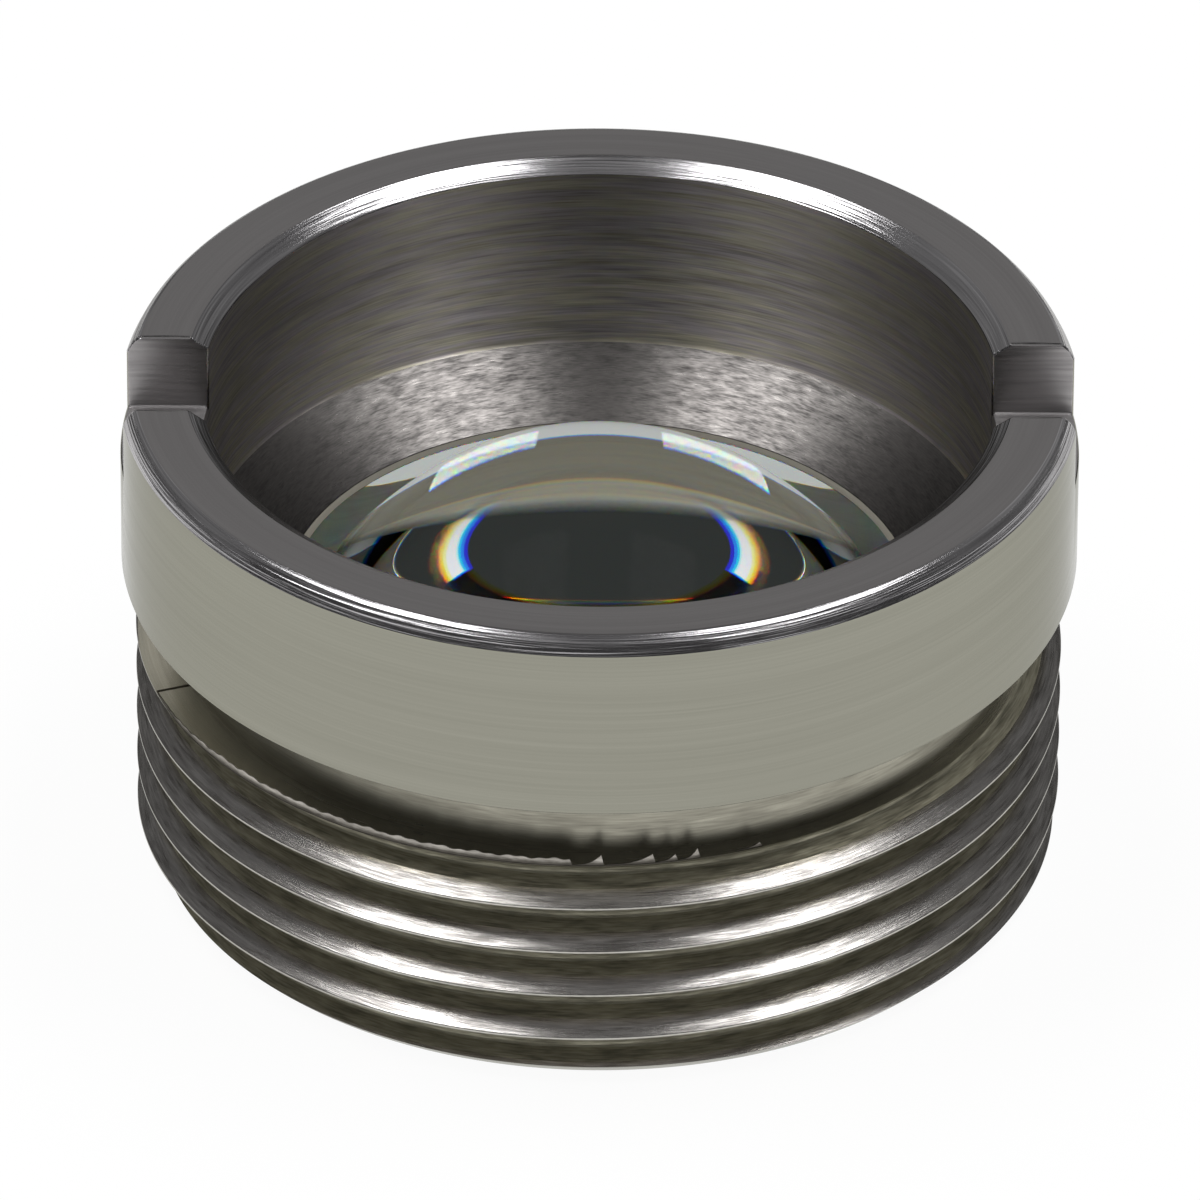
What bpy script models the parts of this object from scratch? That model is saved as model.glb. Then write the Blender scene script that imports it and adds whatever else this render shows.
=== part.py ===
# Mounted aspheric lens: a moulded glass lens bonded into a small threaded steel cell
# Units are metres and +Z is the optical axis. The rear face of the thread stands on z = 0,
# the steeply curved side of the lens looks up through the slotted head, and the two
# spanner slots lie along X.

import math

import bmesh
import bpy

# Steel cell, lengths along the axis
CELL_LENGTH = 0.00517
HEAD_LENGTH = 0.00196
NECK_LENGTH = 0.00078
LEDGE_HEIGHT = 0.000975
BORE_DEPTH = 0.00204

# Steel cell, diameters and edges
HEAD_DIAMETER = 0.00924
HEAD_CHAMFER_WIDTH = 0.000112
HEAD_CHAMFER_DEPTH = 0.00016
HEAD_EDGE_BREAK = 0.00003
BORE_DIAMETER = 0.00767
BORE_CHAMFER_WIDTH = 0.00017
BORE_CHAMFER_DEPTH = 0.00012
SEAT_CONE_ANGLE = math.radians(30)
APERTURE_DIAMETER = 0.0045
APERTURE_CHAMFER = 0.00046

# Outside thread, M9 x 0.5, right-handed with one start
THREAD_DIAMETER = 0.00897
THREAD_PITCH = 0.0005
THREAD_START_ANGLE = math.radians(-111.4)
LEAD_CHAMFER = 0.00024
NECK_UNDERCUT = 0.00008
NECK_FILLET_SHARE = 0.75

# Slots for a two-pin or blade spanner
SLOT_WIDTH = 0.00126
SLOT_DEPTH = 0.00079

# Glass lens
LENS_DIAMETER = 0.006
LENS_CENTRE_THICKNESS = 0.003135
DOME_VERTEX_RADIUS = 0.0027
DOME_CONIC_CONSTANT = -0.6
LENS_FLANGE_WIDTH = 0.00032
LENS_EDGE_BEVEL = 0.00003

# Room between the pieces: the bond line round the lens and the play in it
BOND_LINE = 0.000045
BOND_HEIGHT = 0.0012
BOND_MENISCUS = 0.00003
PLAY = 0.000008

# Smoothness
SEGMENTS = 90
DOME_STEPS = 14
FILLET_STEPS = 3

# Shape of a 60 degree metric thread, as shares of its pitch
FLANK_ANGLE = math.radians(30)
CREST_SHARE = 1 / 8
SHARP_HEIGHT_SHARE = math.cos(FLANK_ANGLE)
ROOT_RADIUS_SHARE = SHARP_HEIGHT_SHARE / 6
CUTTER_OVERRUN_SHARE = 0.06

# Heights and radii that follow from the sizes above
head_radius = HEAD_DIAMETER / 2
bore_radius = BORE_DIAMETER / 2
thread_radius = THREAD_DIAMETER / 2
aperture_radius = APERTURE_DIAMETER / 2
lens_radius = LENS_DIAMETER / 2
pocket_radius = lens_radius + BOND_LINE
thread_depth = THREAD_PITCH * (SHARP_HEIGHT_SHARE * 7 / 8 - ROOT_RADIUS_SHARE)
neck_radius = thread_radius - thread_depth - NECK_UNDERCUT
neck_fillet = NECK_UNDERCUT * NECK_FILLET_SHARE
shoulder_height = CELL_LENGTH - HEAD_LENGTH
thread_end_height = shoulder_height - NECK_LENGTH
cone_top_height = CELL_LENGTH - BORE_DEPTH
cone_bottom_height = cone_top_height - (bore_radius - pocket_radius) * math.tan(SEAT_CONE_ANGLE)
lens_rear_height = LEDGE_HEIGHT + PLAY
dome_radius = lens_radius - LENS_FLANGE_WIDTH


def clear_scene():
    for obj in list(bpy.data.objects):
        bpy.data.objects.remove(obj, do_unlink=True)


def new_collection(name):
    collection = bpy.data.collections.new(name)
    bpy.context.scene.collection.children.link(collection)
    return collection


def new_material(name, colour, metallic, roughness, transmission=0.0):
    material = bpy.data.materials.new(name)
    material.use_nodes = True
    shader = material.node_tree.nodes["Principled BSDF"]
    shader.inputs["Base Color"].default_value = (*colour, 1)
    shader.inputs["Metallic"].default_value = metallic
    shader.inputs["Roughness"].default_value = roughness
    shader.inputs["Transmission Weight"].default_value = transmission
    return material


def new_object(name, mesh, collection, material=None):
    obj = bpy.data.objects.new(name, mesh)
    collection.objects.link(obj)
    if material:
        mesh.materials.append(material)
    return obj


def arc(centre_r, centre_z, radius, start, end, steps):
    """Points of an arc in the profile plane, with angles measured from the outward direction."""
    points = []
    for i in range(steps + 1):
        angle = start + (end - start) * i / steps
        points.append((centre_r + radius * math.cos(angle), centre_z + radius * math.sin(angle)))
    return points


def turned(name, profile, closed, collection, material):
    """A turned shape from a profile of (radius, height) points that runs down its outer side."""
    mesh = bpy.data.meshes.new(name)
    vertices = [(radius, 0, height) for radius, height in profile]
    edges = [(i, i + 1) for i in range(len(profile) - 1)]
    if closed:
        edges.append((len(profile) - 1, 0))
    mesh.from_pydata(vertices, edges, [])
    obj = new_object(name, mesh, collection, material)
    screw = obj.modifiers.new("Turn", "SCREW")
    screw.axis = "Z"
    screw.angle = 2 * math.pi
    screw.steps = SEGMENTS
    screw.render_steps = SEGMENTS
    screw.use_merge_vertices = True
    screw.merge_threshold = 1e-8
    screw.use_smooth_shade = True
    return obj


def cut(obj, cutter, name):
    boolean = obj.modifiers.new(name, "BOOLEAN")
    boolean.operation = "DIFFERENCE"
    boolean.solver = "EXACT"
    boolean.object = cutter


def make_cutter(obj):
    obj.hide_render = True
    obj.display_type = "WIRE"
    return obj


def cell_profile():
    """Half section of the cell blank, from the top face down the outside and back up the bore."""
    fillet_top = arc(
        neck_radius + neck_fillet,
        shoulder_height - neck_fillet,
        neck_fillet,
        math.pi / 2,
        math.pi,
        FILLET_STEPS,
    )
    fillet_bottom = arc(
        neck_radius + neck_fillet,
        thread_end_height + neck_fillet,
        neck_fillet,
        math.pi,
        3 * math.pi / 2,
        FILLET_STEPS,
    )
    return [
        (bore_radius + BORE_CHAMFER_WIDTH, CELL_LENGTH),
        (head_radius - HEAD_CHAMFER_WIDTH, CELL_LENGTH),
        (head_radius, CELL_LENGTH - HEAD_CHAMFER_DEPTH),
        (head_radius, shoulder_height + HEAD_EDGE_BREAK),
        (head_radius - HEAD_EDGE_BREAK, shoulder_height),
        *fillet_top,
        *fillet_bottom,
        (thread_radius, thread_end_height),
        (thread_radius, LEAD_CHAMFER),
        (thread_radius - LEAD_CHAMFER, 0),
        (aperture_radius + APERTURE_CHAMFER, 0),
        (aperture_radius, APERTURE_CHAMFER),
        (aperture_radius, LEDGE_HEIGHT),
        (pocket_radius, LEDGE_HEIGHT),
        (pocket_radius, cone_bottom_height),
        (bore_radius, cone_top_height),
        (bore_radius, CELL_LENGTH - BORE_CHAMFER_DEPTH),
    ]


def thread_groove_section():
    """Section of the thread groove, (radius, height from its middle): two flanks and a round root."""
    overrun = CUTTER_OVERRUN_SHARE * THREAD_PITCH
    mouth = THREAD_PITCH * (1 - CREST_SHARE) / 2 + overrun * math.tan(FLANK_ANGLE)
    root_radius = ROOT_RADIUS_SHARE * THREAD_PITCH
    root_centre = thread_radius - thread_depth + root_radius
    root = arc(
        root_centre,
        0,
        root_radius,
        math.pi / 2 + FLANK_ANGLE,
        3 * math.pi / 2 - FLANK_ANGLE,
        FILLET_STEPS,
    )
    return [(thread_radius + overrun, mouth), *root, (thread_radius + overrun, -mouth)]


def thread_cutter(collection):
    """The helical groove as a solid coil, from below the rear face to the middle of the neck.

    Its corners fall midway between those of the turned blank, and a crest leaves the rear
    face at the start angle.
    """
    segment_angle = 2 * math.pi / SEGMENTS
    start_angle = (math.floor(THREAD_START_ANGLE / segment_angle) + 0.5) * segment_angle
    lead = (start_angle - THREAD_START_ANGLE) / (2 * math.pi)
    start_height = (lead - 1.5) * THREAD_PITCH
    end_height = (shoulder_height + thread_end_height) / 2
    steps = round((end_height - start_height) / THREAD_PITCH * SEGMENTS)
    cosine = math.cos(start_angle)
    sine = math.sin(start_angle)
    coil = bmesh.new()
    section = [
        coil.verts.new((radius * cosine, radius * sine, start_height + height))
        for radius, height in thread_groove_section()
    ]
    face = coil.faces.new(section)
    bmesh.ops.spin(
        coil,
        geom=[face, *face.edges, *face.verts],
        cent=(0, 0, 0),
        axis=(0, 0, 1),
        dvec=(0, 0, THREAD_PITCH / SEGMENTS),
        angle=steps * segment_angle,
        steps=steps,
    )
    open_edges = [edge for edge in coil.edges if edge.is_boundary]
    bmesh.ops.holes_fill(coil, edges=open_edges)
    bmesh.ops.recalc_face_normals(coil, faces=coil.faces)
    mesh = bpy.data.meshes.new("thread_groove")
    coil.to_mesh(mesh)
    coil.free()
    return make_cutter(new_object("thread_groove", mesh, collection))


def slot_cutter(collection):
    """One bar across the head cuts both spanner slots."""
    block = bmesh.new()
    bmesh.ops.create_cube(block, size=1)
    length = 1.5 * HEAD_DIAMETER
    bmesh.ops.scale(block, vec=(length, SLOT_WIDTH, 2 * SLOT_DEPTH), verts=block.verts)
    mesh = bpy.data.meshes.new("slot_bar")
    block.to_mesh(mesh)
    block.free()
    obj = make_cutter(new_object("slot_bar", mesh, collection))
    obj.location = (0, 0, CELL_LENGTH)
    return obj


def make_lens_cell(parts, cutters):
    steel = new_material("stainless_steel_turned", (0.42, 0.42, 0.40), 1.0, 0.28)
    cell = turned("lens_cell", cell_profile(), True, parts, steel)
    cut(cell, thread_cutter(cutters), "Thread")
    cut(cell, slot_cutter(cutters), "Slots")
    return cell


def dome_sag(radius):
    """Depth of the aspheric surface below its vertex, from the conic formula."""
    curve = radius * radius / DOME_VERTEX_RADIUS
    inside = 1 - (1 + DOME_CONIC_CONSTANT) * radius * radius / DOME_VERTEX_RADIUS**2
    return curve / (1 + math.sqrt(inside))


def make_lens(parts):
    """Plano-convex asphere: vertex, dome, narrow flat flange, edge and flat rear face."""
    glass = new_material("moulded_optical_glass", (0.92, 0.95, 0.94), 0.0, 0.02, 1.0)
    flange_height = LENS_CENTRE_THICKNESS - dome_sag(dome_radius)
    dome = []
    for i in range(DOME_STEPS + 1):
        radius = dome_radius * i / DOME_STEPS
        dome.append((radius, LENS_CENTRE_THICKNESS - dome_sag(radius)))
    profile = [
        *dome,
        (lens_radius - LENS_EDGE_BEVEL, flange_height),
        (lens_radius, flange_height - LENS_EDGE_BEVEL),
        (lens_radius, LENS_EDGE_BEVEL),
        (lens_radius - LENS_EDGE_BEVEL, 0),
        (0, 0),
    ]
    lens = turned("aspheric_lens", profile, False, parts, glass)
    lens.location = (0, 0, lens_rear_height)
    return lens


def make_adhesive(parts):
    """Cured bond line between the edge of the lens and the wall of its pocket."""
    resin = new_material("cured_adhesive", (0.62, 0.60, 0.52), 0.0, 0.35)
    inner = lens_radius + PLAY
    outer = pocket_radius - PLAY
    top = LENS_CENTRE_THICKNESS - dome_sag(dome_radius) - LENS_EDGE_BEVEL
    profile = [
        (inner, top),
        (outer, top + BOND_MENISCUS),
        (outer, top - BOND_HEIGHT),
        (inner, top - BOND_HEIGHT),
    ]
    ring = turned("adhesive_ring", profile, True, parts, resin)
    ring.location = (0, 0, lens_rear_height)
    return ring


def main():
    clear_scene()
    parts = new_collection("mounted_aspheric_lens")
    cutters = new_collection("cutters")
    datum = new_object("rear_face_datum", None, parts)
    for piece in (make_lens_cell(parts, cutters), make_lens(parts), make_adhesive(parts)):
        piece.parent = datum


main()
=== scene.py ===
# %% [markdown]
# # A mounted aspheric lens
# The object is a small moulded glass lens, bonded into a cell that was turned from one bar of
# stainless steel. Almost everything that shows is a turned shape: a half section swept round one
# axis. What makes it look real is the fine thread, the milled slots, the tool marks that run
# round the steel, and the light that bends inside the glass.

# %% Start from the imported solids
import math

import bpy
from mathutils import Matrix, Vector


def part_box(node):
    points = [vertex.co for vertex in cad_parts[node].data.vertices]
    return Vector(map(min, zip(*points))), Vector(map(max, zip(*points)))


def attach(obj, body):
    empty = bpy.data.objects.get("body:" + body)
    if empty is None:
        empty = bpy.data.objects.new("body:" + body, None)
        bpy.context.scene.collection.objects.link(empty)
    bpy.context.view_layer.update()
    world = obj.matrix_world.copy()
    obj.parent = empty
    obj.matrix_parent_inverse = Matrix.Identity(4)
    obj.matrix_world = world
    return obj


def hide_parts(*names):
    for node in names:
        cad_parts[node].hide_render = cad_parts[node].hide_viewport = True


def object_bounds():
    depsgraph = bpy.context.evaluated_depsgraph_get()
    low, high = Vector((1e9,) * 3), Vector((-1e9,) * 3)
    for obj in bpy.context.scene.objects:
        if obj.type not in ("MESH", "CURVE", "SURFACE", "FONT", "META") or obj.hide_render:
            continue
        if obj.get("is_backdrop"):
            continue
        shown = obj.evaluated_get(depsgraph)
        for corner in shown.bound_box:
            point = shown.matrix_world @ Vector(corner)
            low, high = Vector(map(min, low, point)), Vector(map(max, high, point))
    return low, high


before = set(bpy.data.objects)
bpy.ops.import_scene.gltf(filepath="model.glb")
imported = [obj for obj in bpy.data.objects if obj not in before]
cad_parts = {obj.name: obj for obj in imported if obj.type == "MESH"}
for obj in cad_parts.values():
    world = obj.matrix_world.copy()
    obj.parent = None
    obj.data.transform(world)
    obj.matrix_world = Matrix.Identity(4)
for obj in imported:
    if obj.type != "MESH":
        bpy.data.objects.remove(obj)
cad_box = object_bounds()
print("solids:", sorted(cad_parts))

# %% [markdown]
# ## Sizes
# Blender counts in metres and a turner in millimetres. The pieces are modelled with one unit for
# a millimetre, which also keeps Blender's merge distances small beside the details, and the
# finished pieces are scaled to metres. The overall sizes are read from the solids.

# %% Sizes of the cell and the lens, in millimetres
MM = 0.001
cell_low, cell_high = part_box("lens_cell")
lens_low, lens_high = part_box("aspheric_lens")
HEAD_R = cell_high.x / MM
TOP_Z = cell_high.z / MM
LENS_R = lens_high.x / MM
LENS_REAR_Z = lens_low.z / MM
LENS_APEX_Z = lens_high.z / MM
print(f"head {2 * HEAD_R:.2f} mm across, cell {TOP_Z:.2f} mm long")
print(f"lens {2 * LENS_R:.2f} mm across, {LENS_APEX_Z - LENS_REAR_Z:.2f} mm thick")

# %% [markdown]
# ## Camera
# The photograph was taken with a long lens from 33 degrees above, so the lines of the cell hardly
# converge. The camera is placed by its direction and distance from a point on the axis, and
# then rolled a third of a degree, as the photograph leans.

# %% Camera
CAMERA_AZIMUTH = math.radians(0.24)
CAMERA_ELEVATION = math.radians(33.48)
CAMERA_ROLL = math.radians(0.339)
CAMERA_DISTANCE = 191.84 * MM
CAMERA_TARGET = Vector((0.011 * MM, 0, 2.596 * MM))
FOCAL_LENGTH_MM = 594.06
SENSOR_WIDTH_MM = 36

backward = Vector(
    (
        math.sin(CAMERA_AZIMUTH) * math.cos(CAMERA_ELEVATION),
        -math.cos(CAMERA_AZIMUTH) * math.cos(CAMERA_ELEVATION),
        math.sin(CAMERA_ELEVATION),
    )
)
camera = bpy.data.objects.new("camera", bpy.data.cameras.new("camera"))
bpy.context.scene.collection.objects.link(camera)
aim = (-backward).to_track_quat("-Z", "Y").to_matrix().to_4x4()
place = Matrix.Translation(CAMERA_TARGET + backward * CAMERA_DISTANCE)
camera.matrix_world = place @ aim @ Matrix.Rotation(CAMERA_ROLL, 4, "Z")
camera.data.lens = FOCAL_LENGTH_MM
camera.data.sensor_width = SENSOR_WIDTH_MM
camera.data.clip_start = 0.01
camera.data.clip_end = 10
bpy.context.scene.camera = camera
bpy.context.scene.view_settings.view_transform = "Standard"
print("camera", round(CAMERA_DISTANCE / MM), "mm from the middle of the cell")

# %% [markdown]
# ## Drawing a half section
# A turner works from a half section: corner points, each with the small radius that the tool
# leaves. This helper turns corners into points, with a short arc at each rounded corner.


# %% Rounded corners for a half section
def rounded(corners, step=math.radians(15)):
    """Points of a line of (radius, height, corner radius), with an arc at each round corner."""
    points = []
    for i, (radius, height, size) in enumerate(corners):
        here = Vector((radius, height))
        if size == 0:
            points.append(tuple(here))
            continue
        before = (Vector(corners[i - 1][:2]) - here).normalized()
        after = (Vector(corners[(i + 1) % len(corners)][:2]) - here).normalized()
        half_angle = before.angle(after) / 2
        centre = here + (before + after).normalized() * size / math.sin(half_angle)
        reach = size / math.tan(half_angle)
        first = here + before * reach - centre
        last = here + after * reach - centre
        turn = first.angle(last)
        steps = max(2, math.ceil(turn / step))
        for k in range(steps + 1):
            share = k / steps
            arm = first * math.sin((1 - share) * turn) + last * math.sin(share * turn)
            points.append(tuple(centre + arm / math.sin(turn)))
    return points


# %% [markdown]
# ## Sweeping it round
# The sweep starts from a primitive circle, which is the first point of the half section swept
# round. Each further point is one extrusion of that ring, moved along the axis and scaled to its
# own radius, as it is done by hand. At the end the last ring is bridged to the first, or the
# two ends are closed.

# %% Helpers for modelling
SEGMENTS = 256


def deselect_all():
    for obj in list(bpy.context.selected_objects):
        obj.select_set(False)


def make_active(obj):
    deselect_all()
    obj.select_set(True)
    bpy.context.view_layer.objects.active = obj


def turn_shape(name, points, ring, segments=SEGMENTS):
    """A turned mesh from (radius, height) points. A ring's line closes on itself."""
    deselect_all()
    radius, height = points[0]
    bpy.ops.mesh.primitive_circle_add(vertices=segments, radius=radius, fill_type="NOTHING")
    obj = bpy.context.object
    obj.name = obj.data.name = name
    bpy.ops.object.mode_set(mode="EDIT")
    bpy.ops.mesh.select_mode(type="EDGE")
    bpy.ops.mesh.select_all(action="SELECT")
    bpy.ops.transform.translate(value=(0, 0, height))
    for next_radius, next_height in points[1:]:
        rise = (0, 0, next_height - height)
        bpy.ops.mesh.extrude_region_move(TRANSFORM_OT_translate={"value": rise})
        share = next_radius / radius
        bpy.ops.transform.resize(value=(share, share, 1), center_override=(0, 0, next_height))
        radius, height = next_radius, next_height
    if ring:
        bpy.ops.mesh.select_all(action="SELECT")
        bpy.ops.mesh.region_to_loop()
        bpy.ops.mesh.bridge_edge_loops()
    else:
        bpy.ops.mesh.merge(type="CENTER")
        bpy.ops.mesh.select_all(action="SELECT")
        bpy.ops.mesh.region_to_loop()
        bpy.ops.mesh.edge_face_add()
    bpy.ops.mesh.select_all(action="SELECT")
    bpy.ops.mesh.normals_make_consistent(inside=False)
    bpy.ops.object.mode_set(mode="OBJECT")
    print(f"{name}: {len(obj.data.polygons)} faces")
    return obj


def cut(obj, cutter):
    """Takes the cutter out of the piece. The new faces get the cutter's material."""
    boolean = obj.modifiers.new("Cut", "BOOLEAN")
    boolean.operation = "DIFFERENCE"
    boolean.solver = "EXACT"
    boolean.material_mode = "TRANSFER"
    boolean.object = cutter
    make_active(obj)
    bpy.ops.object.modifier_apply(modifier=boolean.name)
    bpy.data.objects.remove(cutter, do_unlink=True)
    print(f"{obj.name}: {len(obj.data.polygons)} faces after the cut")


def finish_piece(obj, node, crease=math.radians(18)):
    """Scales a piece from millimetres to metres and puts it in the place of its solid."""
    make_active(obj)
    bpy.ops.transform.resize(value=(MM, MM, MM), center_override=(0, 0, 0))
    bpy.ops.object.transform_apply(location=True, rotation=True, scale=True)
    bpy.ops.object.shade_smooth_by_angle(angle=crease)
    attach(obj, "root")
    if node:
        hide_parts(node)


# %% [markdown]
# ## Materials
# Each material is a few nodes. One helper adds a node with its settings and links, and another
# turns the hex colours that people pick into the linear values that Blender works with.


# %% Helpers for materials
def linear(code):
    """Linear red, green, blue and alpha of a hex colour."""
    channels = [int(code[i : i + 2], 16) / 255 for i in (1, 3, 5)]
    curve = [c / 12.92 if c <= 0.04045 else ((c + 0.055) / 1.055) ** 2.4 for c in channels]
    return (*curve, 1)


def add(tree, kind, settings=None, **inputs):
    """Adds a node. Inputs are values or the sockets that feed them."""
    node = tree.nodes.new(kind)
    for name, value in (settings or {}).items():
        setattr(node, name, value)
    for name, value in inputs.items():
        spaced = name.replace("_", " ")
        socket = node.inputs[int(name[1:])] if name[1:].isdigit() else node.inputs[spaced]
        if isinstance(value, bpy.types.NodeSocket):
            tree.links.new(value, socket)
        else:
            socket.default_value = value
    return node


def new_material(name):
    """An empty material and its node tree."""
    material = bpy.data.materials.new(name)
    material.use_nodes = True
    material.node_tree.nodes.clear()
    return material, material.node_tree


# %% [markdown]
# ### Turned stainless steel
# A lathe tool leaves fine lines that run round the axis, so a pattern of streaks needs three
# things: how far out a point is, how high it is, and its direction from the axis. Noise that
# changes fast with the first two and slowly with the third gives lines that run round. The same
# lines scatter light across themselves, which is what the anisotropic highlight stands for.
# A thin film from the cutting oil gives some surfaces a weak tint that changes along the lines.
# Steel mirrors a little less at a grazing angle than a perfect metal, which the edge tint sets.


# %% Turned stainless steel
EDGE_TINT = (0.72, 0.72, 0.7, 1)


def turned_steel(name, tones, roughness, anisotropy, line, depth, length, tints=None, painted_shading=None):
    """Steel with tool lines that run round the axis.

    The tones are the darkest and the lightest colour. The width, depth and length of the lines
    are in millimetres. The tints are the two ends of a thin film. The painted shading goes from
    one colour to another between two places, which are heights or radii: painted light and shade.
    """
    material, tree = new_material(name)
    place = add(tree, "ShaderNodeTexCoord").outputs["Object"]
    millimetres = add(tree, "ShaderNodeVectorMath", {"operation": "SCALE"}, _0=place, Scale=1 / MM)
    x, y, z = add(tree, "ShaderNodeSeparateXYZ", Vector=millimetres.outputs[0]).outputs
    flat = add(tree, "ShaderNodeCombineXYZ", X=x, Y=y).outputs[0]
    radius = add(tree, "ShaderNodeVectorMath", {"operation": "LENGTH"}, _0=flat).outputs["Value"]
    outward = add(tree, "ShaderNodeVectorMath", {"operation": "NORMALIZE"}, _0=flat).outputs[0]
    out_x, out_y, _ = add(tree, "ShaderNodeSeparateXYZ", Vector=outward).outputs

    def streaks(width, reach, detail, shift=0.0):
        """Noise in lines of that width and length, in millimetres."""
        along = add(
            tree, "ShaderNodeVectorMath", {"operation": "SCALE"}, _0=outward, Scale=4 / reach
        )
        rise = add(tree, "ShaderNodeMath", {"operation": "DIVIDE"}, _0=z, _1=width).outputs[0]
        lift = add(tree, "ShaderNodeCombineXYZ", Z=rise).outputs[0]
        point = add(tree, "ShaderNodeVectorMath", {}, _0=along.outputs[0], _1=lift).outputs[0]
        out = add(
            tree,
            "ShaderNodeMath",
            {"operation": "MULTIPLY_ADD"},
            _0=radius,
            _1=1 / width,
            _2=shift,
        )
        return add(
            tree,
            "ShaderNodeTexNoise",
            {"noise_dimensions": "4D"},
            Vector=point,
            W=out.outputs[0],
            Scale=1.0,
            Detail=detail,
        ).outputs["Fac"]

    def washed(colour, share, first, last):
        """The colour through a film that goes from the first to the last tint."""
        film = add(
            tree,
            "ShaderNodeMix",
            {"data_type": "RGBA"},
            _0=share,
            _6=linear(first),
            _7=linear(last),
        )
        return add(
            tree,
            "ShaderNodeMix",
            {"data_type": "RGBA", "blend_type": "MULTIPLY"},
            _0=1.0,
            _6=colour,
            _7=film.outputs[2],
        ).outputs[2]

    fine = streaks(line, length, 2.0)
    broad = streaks(5 * line, 2.2 * length, 3.0, 7.0)
    both = add(tree, "ShaderNodeMix", {"data_type": "FLOAT"}, _0=0.5, _2=fine, _3=broad).outputs[0]
    tone = add(
        tree, "ShaderNodeMapRange", {}, Value=both, From_Min=0.36, From_Max=0.64
    ).outputs[0]
    dark, light = tones
    colour = add(
        tree, "ShaderNodeMix", {"data_type": "RGBA"}, _0=tone, _6=linear(dark), _7=linear(light)
    ).outputs[2]
    if tints:
        film = streaks(3 * line, 1.5 * length, 1.0, 19.0)
        film = add(tree, "ShaderNodeMapRange", {}, Value=film, From_Min=0.4, From_Max=0.6)
        colour = washed(colour, film.outputs[0], *tints)
    # Painted light and shade between two heights or radii
    if painted_shading:
        measure, start, end, first, last = painted_shading
        share = add(
            tree,
            "ShaderNodeMath",
            {"operation": "MULTIPLY_ADD"},
            _0=streaks(4 * line, 0.7 * length, 2.0, 31.0),
            _1=end - start,
            _2={"height": z, "radius": radius}[measure],
        )
        share = add(
            tree,
            "ShaderNodeMapRange",
            {},
            Value=share.outputs[0],
            From_Min=start + 0.5 * (end - start),
            From_Max=end + 0.5 * (end - start),
        )
        colour = washed(colour, share.outputs[0], first, last)
    shine = add(
        tree,
        "ShaderNodeMapRange",
        {},
        Value=both,
        From_Min=0.3,
        From_Max=0.7,
        To_Min=roughness * 1.3,
        To_Max=roughness * 0.75,
    )
    relief = add(tree, "ShaderNodeBump", {}, Height=both, Distance=depth * MM, Strength=1.0)
    back = add(tree, "ShaderNodeMath", {"operation": "MULTIPLY"}, _0=out_x, _1=-1.0).outputs[0]
    round_axis = add(tree, "ShaderNodeCombineXYZ", X=out_y, Y=back).outputs[0]
    shader = add(
        tree,
        "ShaderNodeBsdfPrincipled",
        {},
        Base_Color=colour,
        Metallic=1.0,
        Specular_Tint=EDGE_TINT,
        Roughness=shine.outputs[0],
        Anisotropic=anisotropy,
        Anisotropic_Rotation=0.25,
        Normal=relief.outputs[0],
        Tangent=round_axis,
    )
    add(tree, "ShaderNodeOutputMaterial", {}, Surface=shader.outputs[0])
    return material


# %% [markdown]
# The cell was turned with several tools, and each left its own surface. The tones were set
# beside the photograph, one surface at a time. The thread has two finishes: its flanks get
# painted shade that darkens them towards the root, and the inner half of the groove is painted
# as shade, dull and olive.

# %% The finishes of the cell
# A fine pass: long faint lines in an even grey; its slight green is a painted tint of the mirrored
# ground
head_steel = turned_steel(
    "fine_turned_steel_head", ("#919084", "#98978b"), 0.15, 0.2, 0.02, 0.0002, 3.0
)
# A facing cut: smooth and darker, because it mirrors the wall behind
rim_steel = turned_steel(
    "faced_steel_rim", ("#a5a2a2", "#afacac"), 0.2, 0.1, 0.02, 0.0002, 2.0
)
# Tool ridges at the edges: many thin bright lines side by side
edge_steel = turned_steel(
    "ridged_steel_edges", ("#8b898b", "#d9d7d9"), 0.2, 0.7, 0.025, 0.022, 1.5
)
# A boring bar: soft sheen and faint yellow and lilac streaks; painted shade darkens it towards the
# top, leaving the lower part lit as by light from the seat
bore_steel = turned_steel(
    "bored_steel",
    ("#b0aca6", "#f1ede6"),
    0.53,
    0.97,
    0.018,
    0.0015,
    0.6,
    ("#f4f2e4", "#ece8f2"),
    ("height", 3.1, 4.3, "#ffffff", "#d2d2d2"),
)
# A torn cut: short bright and dark flakes
seat_steel = turned_steel(
    "torn_turned_steel_seat", ("#454342", "#6e6b69"), 0.33, 0.3, 0.012, 0.002, 0.1
)
# A grooving tool: short dull olive streaks
neck_steel = turned_steel(
    "grooved_steel_neck", ("#8d8a7e", "#a9a698"), 0.33, 0.3, 0.02, 0.001, 0.3
)
# Thread flanks: short streaks, with painted shade that darkens them towards the root
thread_steel = turned_steel(
    "turned_steel_thread_painted_shade",
    ("#6f6c69", "#b9b6b3"),
    0.24,
    0.4,
    0.012,
    0.003,
    0.24,
    None,
    ("radius", 4.3, 4.38, "#d9d5c4", "#ffffff"),
)
# The bottom of the groove: dull, with painted shade, dark and olive
root_steel = turned_steel(
    "turned_steel_thread_root_painted_shade", ("#7d7a6b", "#b3af9c"), 0.55, 0.3, 0.016, 0.003, 0.2
)
# Torn metal, with painted shade at the foot and a painted highlight along the top
burr_steel = turned_steel(
    "torn_steel_burr",
    ("#c9c6c1", "#efede9"),
    0.42,
    0.2,
    0.01,
    0.002,
    0.1,
    None,
    ("height", 2.45, 2.485, "#6d6a65", "#cfccc7"),
)
# A plain even cut: rear face, lead-in chamfer and the crests of the thread
rear_steel = turned_steel("turned_steel_rear", ("#b0aea6", "#c2c0b8"), 0.25, 0.3, 0.03, 0.001, 2.0)
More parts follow.
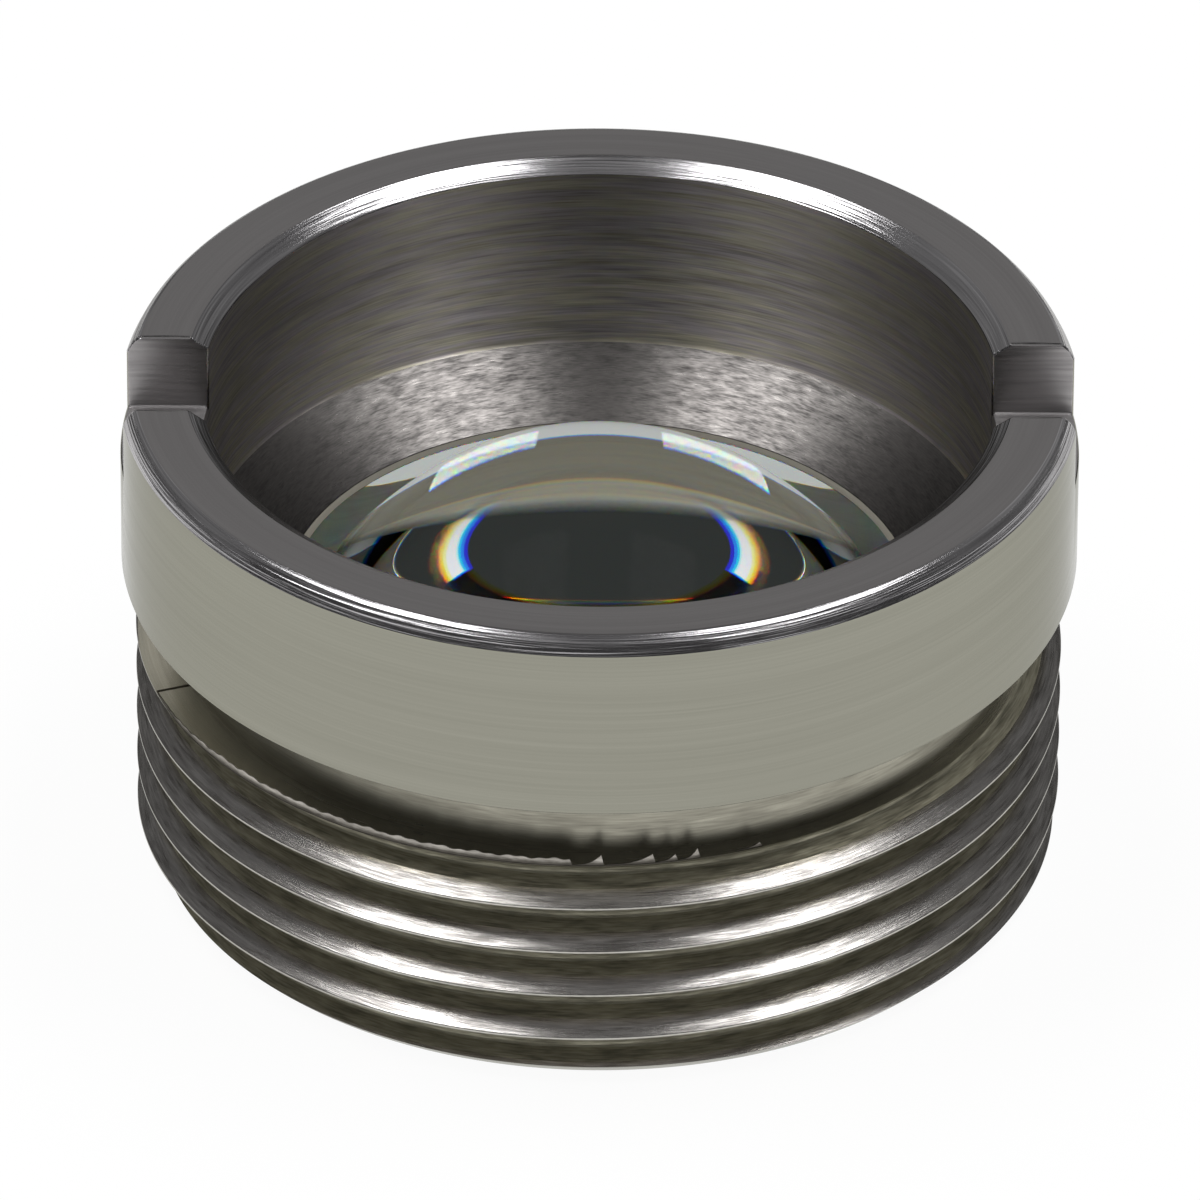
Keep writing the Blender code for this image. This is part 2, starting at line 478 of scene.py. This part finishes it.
# A light tone, painted light for the light that the lens throws on the ledge; it brightens what is
# seen through the lens
painted_light_ledge_steel = turned_steel(
    "turned_steel_ledge_painted_light", ("#d4d1c8", "#ece9e0"), 0.4, 0.5, 0.03, 0.001, 2.0
)
# The aperture: painted shade below and a painted reflection above, which show as two rings in the
# lens
shaded_throat_steel = turned_steel(
    "turned_steel_throat_painted_shade", ("#918c7f", "#a09b8d"), 0.2, 0.5, 0.03, 0.001, 2.0
)
lit_throat_steel = turned_steel(
    "turned_steel_throat_painted_light", ("#aca697", "#ddd6c5"), 0.2, 0.5, 0.012, 0.001, 1.0
)

# %% [markdown]
# ### Milled steel
# The slots were cut with a narrow saw that ran straight across the head. Its marks are straight
# lines along the slot, so here the noise changes fast with the height and hardly at all along X.

# %% Milled steel
milled, tree = new_material("saw_milled_steel")
place = add(tree, "ShaderNodeTexCoord").outputs["Object"]
lines = add(tree, "ShaderNodeMapping", {}, Vector=place, Scale=(1200, 14000, 22000))
noise = add(tree, "ShaderNodeTexNoise", {}, Vector=lines.outputs[0], Scale=1.0, Detail=2.0)
shine = add(
    tree, "ShaderNodeMapRange", {}, Value=noise.outputs["Fac"], To_Min=0.5, To_Max=0.35
)
tone = add(
    tree,
    "ShaderNodeMix",
    {"data_type": "RGBA"},
    _0=noise.outputs["Fac"],
    _6=linear("#8f8c8d"),
    _7=linear("#c6c3c3"),
)
relief = add(tree, "ShaderNodeBump", {}, Height=noise.outputs["Fac"], Distance=0.006 * MM)
shader = add(
    tree,
    "ShaderNodeBsdfPrincipled",
    {},
    Base_Color=tone.outputs[2],
    Metallic=1.0,
    Roughness=shine.outputs[0],
    Normal=relief.outputs[0],
)
add(tree, "ShaderNodeOutputMaterial", {}, Surface=shader.outputs[0])

# %% [markdown]
# ## The cell
# The blank is one closed half section: down the outside with the head, the relief neck and the
# plain cylinder that takes the thread, across the rear face, and back up through the aperture,
# the pocket, the conical seat and the bore. Its corners carry small radii in the section itself;
# the edges of the slots are rounded after the slots are cut, as a turner deburrs them last.

# %% The turned blank
RIM_OUTER_R = 4.508
RIM_INNER_R = 4.005
HEAD_EDGE_Z = 5.0
HEAD_LOW_Z = 3.21
NECK_R = 4.098
THREAD_TOP_Z = 2.43
THREAD_R = 4.485
LEAD_CHAMFER = 0.24
APERTURE_R = 2.45
APERTURE_CHAMFER = 0.22
# Height where the aperture's painted shade turns into painted light
THROAT_LINE_Z = 0.715
LEDGE_Z = 0.975
POCKET_R = 3.045
BORE_R = 3.835
BORE_LOW_Z = 3.13
BORE_EDGE_Z = 5.05
CONE_LOW_Z = BORE_LOW_Z - (BORE_R - POCKET_R) * math.tan(math.radians(30))

blank_section = rounded(
    [
        (RIM_INNER_R, TOP_Z, 0.03),
        (RIM_OUTER_R, TOP_Z, 0.1),
        (4.576, 5.093, 0.1),
        (HEAD_R, HEAD_EDGE_Z, 0),
        (HEAD_R, HEAD_LOW_Z, 0.02),
        (NECK_R, HEAD_LOW_Z, 0.05),
        (NECK_R, THREAD_TOP_Z, 0),
        (THREAD_R, THREAD_TOP_Z, 0),
        (THREAD_R, LEAD_CHAMFER, 0),
        (THREAD_R - LEAD_CHAMFER, 0, 0.02),
        (APERTURE_R + APERTURE_CHAMFER, 0, 0.02),
        (APERTURE_R, APERTURE_CHAMFER, 0.02),
        (APERTURE_R, THROAT_LINE_Z, 0),
        (APERTURE_R, LEDGE_Z, 0.01),
        (POCKET_R, LEDGE_Z, 0.04),
        (POCKET_R, CONE_LOW_Z, 0.015),
        (BORE_R, BORE_LOW_Z, 0.04),
        (BORE_R, BORE_EDGE_Z, 0.02),
    ]
)
cell = turn_shape("turned_lens_cell", blank_section, ring=True)
finishes = [
    head_steel,
    rim_steel,
    edge_steel,
    bore_steel,
    seat_steel,
    neck_steel,
    rear_steel,
    shaded_throat_steel,
    lit_throat_steel,
    painted_light_ledge_steel,
]
for finish in finishes:
    cell.data.materials.append(finish)


def finish_of(radius, height):
    """The finish at a place of the half section."""
    if height < THREAD_TOP_Z - 0.03 and radius > 3.2:
        return rear_steel
    if radius > HEAD_R - 0.019 and HEAD_LOW_Z < height < HEAD_EDGE_Z:
        return head_steel
    if height > TOP_Z - 0.002 and RIM_INNER_R < radius < RIM_OUTER_R:
        return rim_steel
    if height > 4.9:
        return edge_steel if radius > BORE_R + 0.001 else bore_steel
    if radius > NECK_R + 0.06:
        return painted_light_ledge_steel if height > THREAD_TOP_Z + 0.1 else rear_steel
    if radius > NECK_R - 0.01:
        return neck_steel
    if height > BORE_LOW_Z - 0.01:
        return bore_steel
    if height > CONE_LOW_Z - 0.02:
        return seat_steel
    if abs(radius - APERTURE_R) < 0.003:
        return lit_throat_steel if height > THROAT_LINE_Z else shaded_throat_steel
    return painted_light_ledge_steel if height > LEDGE_Z - 0.01 else rear_steel


for face in cell.data.polygons:
    middle = face.center
    face.material_index = finishes.index(finish_of(middle.xy.length, middle.z))

# %% [markdown]
# ### Spanner slots
# One bar across the head cuts both slots. After the cut the sharp edges are picked by the
# angle between their faces, and those of the slot walls and floors get the same small bevel.

# %% Slots and deburred edges
SLOT_WIDTH = 1.26
SLOT_DEPTH = 0.79
DEBURR = 0.03
NEAR = 0.001

deselect_all()
bpy.ops.mesh.primitive_cube_add(
    size=1, location=(0, 0, TOP_Z), scale=(3 * HEAD_R, SLOT_WIDTH, 2 * SLOT_DEPTH)
)
bar = bpy.context.object
bar.data.materials.append(milled)
cut(cell, bar)

make_active(cell)
bpy.ops.object.mode_set(mode="EDIT")
bpy.ops.mesh.select_all(action="DESELECT")
bpy.ops.mesh.select_mode(type="EDGE")
bpy.ops.mesh.edges_select_sharp(sharpness=math.radians(30))
bpy.ops.object.mode_set(mode="OBJECT")
floor_z = TOP_Z - SLOT_DEPTH
vertices = cell.data.vertices
for edge in cell.data.edges:
    ends = [vertices[i].co for i in edge.vertices]
    on_wall = all(
        abs(abs(end.y) - SLOT_WIDTH / 2) < NEAR and end.z > floor_z - NEAR for end in ends
    )
    on_floor = all(
        abs(end.z - floor_z) < NEAR and abs(end.y) < SLOT_WIDTH / 2 + NEAR for end in ends
    )
    edge.select = edge.select and on_wall != on_floor
bpy.ops.object.mode_set(mode="EDIT")
bpy.ops.mesh.bevel(offset=DEBURR, segments=3, affect="EDGES", clamp_overlap=False)
bpy.ops.object.mode_set(mode="OBJECT")
print(f"deburred head: {len(cell.data.polygons)} faces")

# %% [markdown]
# ### The thread
# The thread is M9 x 0.5, right-handed. The groove is what the tool takes away, so the cutter is
# the groove: its section is drawn as a flat face, the Screw modifier sweeps it up the axis, and
# one Boolean cuts it into the blank. The cut then runs out into the neck and into the lead-in
# chamfer by itself, with the thin crescent edges that a real thread has there. The flank has one
# corner of its own, where the painted shade of the inner half begins.

# %% Section of the thread groove
PITCH = 0.5
FLANK = math.radians(30)
CREST_WIDTH = PITCH / 20
ROOT_R = 0.866 * PITCH / 6
THREAD_DEPTH = PITCH * 0.866 * 7 / 8 - ROOT_R
CREST_ROUND = 0.01
CREST_END = math.radians(14)
CREST_START_ANGLE = math.radians(-111.4)
CREST_START_Z = 0
OVERRUN = 0.03
# Faces less than this far out from the root get the root's painted shade
PAINTED_SHADE_DEPTH = 0.13
PAINTED_SHADE_R = THREAD_R - THREAD_DEPTH + PAINTED_SHADE_DEPTH


def groove_section():
    """Upper half of the outline, as (radius, height above the middle), from the outside in."""
    half_mouth = (PITCH - CREST_WIDTH) / 2
    tilt = math.pi / 2 - FLANK
    centre_r = THREAD_R - CREST_ROUND
    centre_z = half_mouth + CREST_ROUND * math.tan(tilt / 2)
    outline = [
        (THREAD_R + OVERRUN, centre_z + OVERRUN),
        (THREAD_R + 0.1 * OVERRUN, centre_z + 0.1 * OVERRUN / math.tan(CREST_END)),
    ]
    for k in range(4):
        angle = CREST_END + (tilt - CREST_END) * k / 3
        outline.append(
            (
                centre_r + CREST_ROUND * math.cos(angle),
                centre_z - CREST_ROUND * math.sin(angle),
            )
        )
    root_centre = THREAD_R - THREAD_DEPTH + ROOT_R
    crest_r, crest_z = outline[-1]
    outline.append((PAINTED_SHADE_R, crest_z - (crest_r - PAINTED_SHADE_R) * math.tan(FLANK)))
    for k in range(4):
        angle = math.pi / 2 + FLANK + (math.pi / 2 - FLANK) * k / 3
        outline.append((root_centre + ROOT_R * math.cos(angle), ROOT_R * math.sin(angle)))
    return outline


upper = groove_section()
lower = [(radius, -height) for radius, height in reversed(upper[:-1])]
section = upper + lower
print(f"groove: {len(section)} corners, {THREAD_DEPTH:.3f} mm deep")

# %% [markdown]
# The section is a primitive circle with as many corners as the outline has, and each corner is
# then moved to its place. The sweep starts below the rear face and ends in the neck.

# %% Cut the thread
deselect_all()
bpy.ops.mesh.primitive_circle_add(vertices=len(section), radius=1, fill_type="NGON")
coil = bpy.context.object
turns = math.ceil((HEAD_LOW_Z - 0.35) / PITCH) + 1
step_angle = 2 * math.pi / SEGMENTS
start_angle = (math.floor(CREST_START_ANGLE / step_angle) + 0.5) * step_angle
start_z = PITCH * ((start_angle - CREST_START_ANGLE) / (2 * math.pi) - 1.5)
for vertex, (radius, height) in zip(coil.data.vertices, section, strict=True):
    vertex.co = (
        radius * math.cos(start_angle),
        radius * math.sin(start_angle),
        start_z + height,
    )
sweep = coil.modifiers.new("Sweep", "SCREW")
sweep.axis = "Z"
sweep.screw_offset = PITCH
sweep.iterations = turns
sweep.steps = sweep.render_steps = SEGMENTS
sweep.use_normal_calculate = True
bpy.ops.object.modifier_apply(modifier=sweep.name)
bpy.ops.object.mode_set(mode="EDIT")
bpy.ops.mesh.select_all(action="SELECT")
bpy.ops.mesh.remove_doubles(threshold=0.0001)
bpy.ops.mesh.select_all(action="DESELECT")
bpy.ops.mesh.select_mode(type="EDGE")
bpy.ops.mesh.select_non_manifold()
bpy.ops.mesh.edge_face_add()
bpy.ops.mesh.select_all(action="SELECT")
bpy.ops.mesh.normals_make_consistent(inside=False)
bpy.ops.object.mode_set(mode="OBJECT")
coil.data.materials.clear()
coil.data.materials.append(thread_steel)
coil.data.materials.append(root_steel)
# Faces of the groove's inner half get the root steel with its painted shade
for face in coil.data.polygons:
    face.material_index = 1 if face.center.xy.length < PAINTED_SHADE_R else 0
print(f"groove: {len(coil.data.polygons)} faces, {turns} turns")
cut(cell, coil)
finish_piece(cell, "lens_cell")

# %% [markdown]
# ### The burr at the end of the thread
# Where the thread tool ran out into the neck it left a thin fin along the edge of the ledge. The
# fin stands almost upright on the left, is torn into a few teeth in the middle of the front, and
# fades where the groove has eaten the ledge away. It is a strip of a circle, extruded up, given a
# ragged top edge and thickened by the Solidify modifier.

# %% Burr
BURR_HEIGHT = 0.075
BURR_THICKNESS = 0.012
BURR_START = -168
BURR_TEAR = -93
BURR_END = -64
BURR_RISE = 25
BURR_WAVE = 0.09
BURR_STUB = 0.12
BURR_CURL = 0.05
BURR_SUNK = 0.01
TOOTH_FOOT = 0.22
BURR_TEETH = [
    (-93, -89, 1.9),
    (-88.6, -82.5, 1.5),
    (-82.1, -79.7, 1.2),
    (-79.2, -76.9, 1.5),
    (-71.5, -68.4, 0.8),
]


def ledge_radius(angle):
    """Outer radius of the ledge above the thread, where the groove cuts it off."""
    crest = CREST_START_Z + PITCH * (angle - CREST_START_ANGLE) / (2 * math.pi)
    above = (crest - THREAD_TOP_Z) % PITCH
    return min(THREAD_R, THREAD_R - (above - CREST_WIDTH / 2) / math.tan(FLANK))


def burr_height(degrees):
    """Height of the fin at an angle round the axis: even at first, then torn into teeth."""
    waves = math.sin(1.3 * degrees) + math.sin(3.1 * degrees + 1)
    if degrees < BURR_TEAR:
        return BURR_HEIGHT * min(1, (degrees - BURR_START) / BURR_RISE) * (1 + BURR_WAVE * waves)
    for start, end, height in BURR_TEETH:
        if start <= degrees < end:
            share = (degrees - start) / (end - start)
            return BURR_HEIGHT * (TOOTH_FOOT + (height - TOOTH_FOOT) * share**3)
    return BURR_STUB * BURR_HEIGHT


BURR_STEPS = 330
deselect_all()
bpy.ops.mesh.primitive_circle_add(vertices=3 * BURR_STEPS, radius=THREAD_R, fill_type="NOTHING")
burr = bpy.context.object
burr.name = burr.data.name = "thread_end_burr"
bpy.ops.object.mode_set(mode="EDIT")
bpy.ops.mesh.select_all(action="SELECT")
bpy.ops.mesh.extrude_region_move(TRANSFORM_OT_translate={"value": (0, 0, 1)})
bpy.ops.mesh.extrude_region_move(TRANSFORM_OT_translate={"value": (0, 0, 1)})
bpy.ops.object.mode_set(mode="OBJECT")
bpy.ops.object.mode_set(mode="EDIT")
bpy.ops.mesh.select_all(action="DESELECT")
bpy.ops.mesh.select_mode(type="VERT")
bpy.ops.object.mode_set(mode="OBJECT")
for vertex in burr.data.vertices:
    degrees = math.degrees(math.atan2(vertex.co.y, vertex.co.x))
    vertex.select = not BURR_START < degrees < BURR_END
    level = round(vertex.co.z)
    reach = ledge_radius(math.radians(degrees)) - BURR_THICKNESS
    height = burr_height(degrees) * level / 2
    curl = BURR_CURL * height * level
    turn = math.radians(degrees)
    vertex.co = (
        (reach - curl) * math.cos(turn),
        (reach - curl) * math.sin(turn),
        THREAD_TOP_Z - BURR_SUNK + height,
    )
bpy.ops.object.mode_set(mode="EDIT")
bpy.ops.mesh.delete(type="VERT")
bpy.ops.object.mode_set(mode="OBJECT")
sheet = burr.modifiers.new("Thickness", "SOLIDIFY")
sheet.thickness = BURR_THICKNESS
sheet.offset = 0
bpy.ops.object.modifier_apply(modifier=sheet.name)
burr.data.materials.append(burr_steel)
print(f"burr: {len(burr.data.polygons)} faces")
finish_piece(burr, None, math.radians(50))

# %% [markdown]
# ## The lens
# The lens was pressed from a blank of optical glass in a polished mould. Its front follows a
# conic formula, so the points are computed and not drawn, with the rings at even steps of the
# radius.
#
# Glass bends blue light more than red light. One refractive index can't show that, so light that
# enters the lens meets five shaders in one, from red to blue, and each bends its share by its own
# index. Edges seen through the steep side of the lens then get coloured fringes. Light that
# leaves the lens meets plain glass, which also mirrors it all back at a shallow angle. A coating
# against reflections takes most of the mirror image off the outside, but not at grazing angles.


# %% Moulded glass
GLASS_INDEX = 1.587
INDEX_SPREAD = 0.008
COATING_POWER = 2.6
SPECTRUM = [
    (-0.7, (0.5, 0.0, 0.0)),
    (-0.4, (0.5, 0.35, 0.0)),
    (0.0, (0.0, 0.4, 0.0)),
    (0.5, (0.0, 0.25, 0.35)),
    (1.1, (0.0, 0.0, 0.65)),
]


def coated_glass(name, tint):
    """Coated glass that bends each part of the spectrum by its own index."""
    material, tree = new_material(name)
    bent = None
    for offset, parts in SPECTRUM:
        colour = [part * channel for part, channel in zip(parts, linear(tint)[:3], strict=True)]
        share = add(
            tree,
            "ShaderNodeBsdfRefraction",
            {"distribution": "GGX"},
            Color=(*colour, 1),
            Roughness=0.0,
            IOR=GLASS_INDEX + INDEX_SPREAD * offset,
        ).outputs[0]
        if bent is not None:
            share = add(tree, "ShaderNodeAddShader", {}, _0=bent, _1=share).outputs[0]
        bent = share
    mirror = add(tree, "ShaderNodeBsdfAnisotropic", {}, Color=(1, 1, 1, 1), Roughness=0.0)
    fresnel = add(tree, "ShaderNodeFresnel", {}, IOR=GLASS_INDEX).outputs[0]
    coated = add(
        tree, "ShaderNodeMath", {"operation": "POWER"}, _0=fresnel, _1=COATING_POWER
    ).outputs[0]
    entering = add(
        tree, "ShaderNodeMixShader", {}, _0=coated, _1=bent, _2=mirror.outputs[0]
    ).outputs[0]
    leaving = add(
        tree,
        "ShaderNodeBsdfGlass",
        {"distribution": "GGX"},
        Color=linear(tint),
        Roughness=0.0,
        IOR=GLASS_INDEX,
    ).outputs[0]
    behind = add(tree, "ShaderNodeNewGeometry").outputs["Backfacing"]
    whole = add(tree, "ShaderNodeMixShader", {}, _0=behind, _1=entering, _2=leaving).outputs[0]
    add(tree, "ShaderNodeOutputMaterial", {}, Surface=whole)
    return material


# Polished by the mould: clear, with coloured fringes at the steep side
glass = coated_glass("moulded_optical_glass", "#fcfefd")
# Left as moulded: it dims the light that enters at the edge
rim_glass = coated_glass("dull_moulded_glass_edge", "#5c5c5e")

# %% [markdown]
# The edge of the lens is a plain cylinder, but its last twentieth of a millimetre below the flange
# leans in a little, as the mould has to let go of the glass. Light from the soft boxes enters
# there, is mirrored by the rear face and leaves through the steep side of the dome: it is the
# white band with a blue and a yellow border on either side of the lens. The leaning strip is not
# polished and lets less light through.

# %% The moulded lens
VERTEX_RADIUS = 2.7
CONIC = -0.6
DOME_R = 2.66
EDGE_BEVEL = 0.03
LEAN_LOW_Z = 2.597
LEAN = 0.015
DOME_RINGS = 80


def sag(radius):
    """Depth of the front surface below its vertex."""
    curve = radius * radius / VERTEX_RADIUS
    return curve / (1 + math.sqrt(1 - (1 + CONIC) * radius * radius / VERTEX_RADIUS**2))


flange_z = LENS_APEX_Z - sag(DOME_R)
lens_section = [
    (LENS_R - EDGE_BEVEL, LENS_REAR_Z),
    (LENS_R, LENS_REAR_Z + EDGE_BEVEL),
    (LENS_R, LEAN_LOW_Z),
    (LENS_R - LEAN, flange_z),
]
for k in range(DOME_RINGS, 0, -1):
    radius = DOME_R * k / DOME_RINGS
    lens_section.append((radius, LENS_APEX_Z - sag(radius)))
lens = turn_shape("moulded_lens", lens_section, ring=False)
lens.data.materials.append(glass)
lens.data.materials.append(rim_glass)
for face in lens.data.polygons:
    middle = face.center
    leaning = LEAN_LOW_Z < middle.z < flange_z and middle.xy.length > LENS_R - LEAN
    face.material_index = 1 if leaning else 0
finish_piece(lens, "aspheric_lens", math.radians(6))
print(f"flange {flange_z:.2f} mm above the rear face of the cell")

# %% [markdown]
# ## The adhesive
# A clear adhesive fills the narrow gap between the lens and its pocket. At the top it creeps up
# the wall of the pocket in a small meniscus, which shows as a pale line round the lens.

# %% Cured adhesive
resin, tree = new_material("cured_clear_adhesive")
shader = add(
    tree,
    "ShaderNodeBsdfPrincipled",
    {},
    Base_Color=linear("#cdc8ba"),
    Roughness=0.25,
    IOR=1.5,
    Transmission_Weight=0.3,
)
add(tree, "ShaderNodeOutputMaterial", {}, Surface=shader.outputs[0])

PLAY = 0.008
WALL_PLAY = 0.4 * PLAY
MENISCUS = 0.075
BOND_HEIGHT = 1.2
bond_top = LEAN_LOW_Z
bond = turn_shape(
    "adhesive_bond_line",
    [
        (LENS_R + PLAY, bond_top),
        (POCKET_R - WALL_PLAY, bond_top + MENISCUS),
        (POCKET_R - PLAY, bond_top - BOND_HEIGHT),
        (LENS_R + PLAY, bond_top - BOND_HEIGHT),
    ],
    ring=True,
)
bond.data.materials.append(resin)
finish_piece(bond, "adhesive_ring")

# %% [markdown]
# ## Floor and light
# The object stands on a small sheet of white paper. The sheet shows white to the camera, and to
# rays that come from metal or glass, gets a painted shadow under the cell, and keeps a faint cast
# shadow. Beyond the sheet the steep edges mirror the dark foot of the room. Two large soft boxes
# hang to the left and the right above the object, with a darker gap between them: polished metal
# needs something dark to reflect as well as something bright.


# %% Floor
# Painted shadow: metal and glass see the floor this much dimmer under the cell
PAINTED_SHADOW_UNDER_CELL = 0.53
PAINTED_SHADOW_R = 2.8
OPEN_FLOOR_R = 3.6


def plain_white(tree, glow, albedo):
    """White for the camera, metal and glass, with a painted shadow under the cell, and plain for
    other rays.
    """
    path = add(tree, "ShaderNodeLightPath")
    seen = add(
        tree,
        "ShaderNodeMath",
        {"operation": "MAXIMUM"},
        _0=path.outputs["Is Camera Ray"],
        _1=path.outputs["Is Glossy Ray"],
    )
    seen = add(
        tree,
        "ShaderNodeMath",
        {"operation": "MAXIMUM"},
        _0=seen.outputs[0],
        _1=path.outputs["Is Transmission Ray"],
    )
    place = add(tree, "ShaderNodeTexCoord").outputs["Object"]
    far = add(tree, "ShaderNodeVectorMath", {"operation": "LENGTH"}, _0=place).outputs["Value"]
    strength = add(
        tree,
        "ShaderNodeMapRange",
        {},
        Value=far,
        From_Min=PAINTED_SHADOW_R * MM,
        From_Max=OPEN_FLOOR_R * MM,
        To_Min=PAINTED_SHADOW_UNDER_CELL * glow,
        To_Max=glow,
    ).outputs[0]
    matt = add(tree, "ShaderNodeBsdfDiffuse", {}, Color=(albedo, albedo, albedo, 1))
    dim = add(tree, "ShaderNodeBsdfDiffuse", {}, Color=(1 - glow, 1 - glow, 1 - glow, 1))
    white = add(tree, "ShaderNodeEmission", {}, Color=(1, 1, 1, 1), Strength=strength)
    shown = add(tree, "ShaderNodeAddShader", {}, _0=white.outputs[0], _1=dim.outputs[0])
    return add(
        tree,
        "ShaderNodeMixShader",
        {},
        _0=seen.outputs[0],
        _1=matt.outputs[0],
        _2=shown.outputs[0],
    )


FLOOR_SIZE = 0.2
FLOOR_GLOW = 0.94
FLOOR_ALBEDO = 0.8
deselect_all()
bpy.ops.mesh.primitive_plane_add(size=FLOOR_SIZE)
floor = bpy.context.object
floor.name = "floor"
paper, tree = new_material("white_paper")
white = plain_white(tree, FLOOR_GLOW, FLOOR_ALBEDO)
add(tree, "ShaderNodeOutputMaterial", {}, Surface=white.outputs[0])
floor.data.materials.append(paper)
floor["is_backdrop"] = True

# %% Soft boxes
BOX_DISTANCE = 0.6
BOX_WIDTH = 0.21
BOX_LENGTH = 0.34
BOX_RADIANCE = 8.0
BOX_ASIDE, BOX_BACK, BOX_UP = 0.36, 0.08, 0.93
for side in (-1, 1):
    lamp = bpy.data.lights.new("soft_box", "AREA")
    lamp.shape = "RECTANGLE"
    lamp.size = BOX_WIDTH
    lamp.size_y = BOX_LENGTH
    lamp.energy = BOX_RADIANCE * math.pi * BOX_WIDTH * BOX_LENGTH
    box = bpy.data.objects.new("soft_box", lamp)
    bpy.context.scene.collection.objects.link(box)
    direction = Vector((side * BOX_ASIDE, BOX_BACK, BOX_UP)).normalized()
    across = Vector((0, 1, 0)).cross(direction).normalized()
    axes = Matrix((across, direction.cross(across), direction)).transposed()
    box.matrix_world = Matrix.Translation(direction * BOX_DISTANCE) @ axes.to_4x4()

# %% [markdown]
# The room is what the steel mirrors between the lamps: a dim grey wall behind the object, which
# the flat rim shows, a softer light from high in front, which the rounded edges show, and almost
# nothing straight above. The wall is darker at its sides and near the ground.


# %% Room
def ramp(tree, value, start, end, first, last):
    """A smooth change from the first to the last strength."""
    return add(
        tree,
        "ShaderNodeMapRange",
        {"interpolation_type": "SMOOTHSTEP"},
        Value=value,
        From_Min=start,
        From_Max=end,
        To_Min=first,
        To_Max=last,
    ).outputs[0]


def times(tree, first, second):
    """The product of two strengths."""
    return add(
        tree, "ShaderNodeMath", {"operation": "MULTIPLY"}, _0=first, _1=second
    ).outputs[0]


WALL = 0.3
WALL_SIDES = 0.6
WALL_FOOT = 0.3
CEILING = 0.025
FRONT_LOW = 0.035
FRONT_HIGH = 0.35

world = bpy.data.worlds.new("room")
bpy.context.scene.world = world
world.use_nodes = True
tree = world.node_tree
tree.nodes.clear()
sky = add(tree, "ShaderNodeTexCoord").outputs["Generated"]
side_x, back_y, up_z = add(tree, "ShaderNodeSeparateXYZ", Vector=sky).outputs
side_x = add(tree, "ShaderNodeMath", {"operation": "ABSOLUTE"}, _0=side_x).outputs[0]
wall = times(
    tree,
    ramp(tree, up_z, 0.62, 0.85, WALL, CEILING),
    ramp(tree, side_x, 0.3, 0.65, 1.0, WALL_SIDES),
)
wall = times(tree, wall, ramp(tree, up_z, 0.0, 0.3, WALL_FOOT, 1.0))
front = times(
    tree,
    ramp(tree, up_z, 0.62, 0.8, FRONT_LOW, FRONT_HIGH),
    ramp(tree, up_z, 0.93, 1.0, 1.0, 0.3),
)
shade = add(
    tree,
    "ShaderNodeMix",
    {"data_type": "FLOAT"},
    _0=ramp(tree, back_y, -0.12, 0.1, 0.0, 1.0),
    _2=front,
    _3=wall,
).outputs[0]
path = add(tree, "ShaderNodeLightPath")
strength = add(
    tree,
    "ShaderNodeMix",
    {"data_type": "FLOAT"},
    _0=path.outputs["Is Camera Ray"],
    _2=shade,
    _3=1.0,
)
room = add(tree, "ShaderNodeBackground", {}, Color=(1, 1, 1, 1), Strength=strength.outputs[0])
add(tree, "ShaderNodeOutputWorld", {}, Surface=room.outputs[0])

# %% [markdown]
# ## The sizes of both boxes
# The boxes of the solids and of the new pieces are printed side by side.

# %% Print both boxes
visual_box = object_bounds()
for name, box_corners in (("solids", cad_box), ("pieces", visual_box)):
    size = (box_corners[1] - box_corners[0]) / MM
    print(name, [round(v, 3) for v in size], "mm")
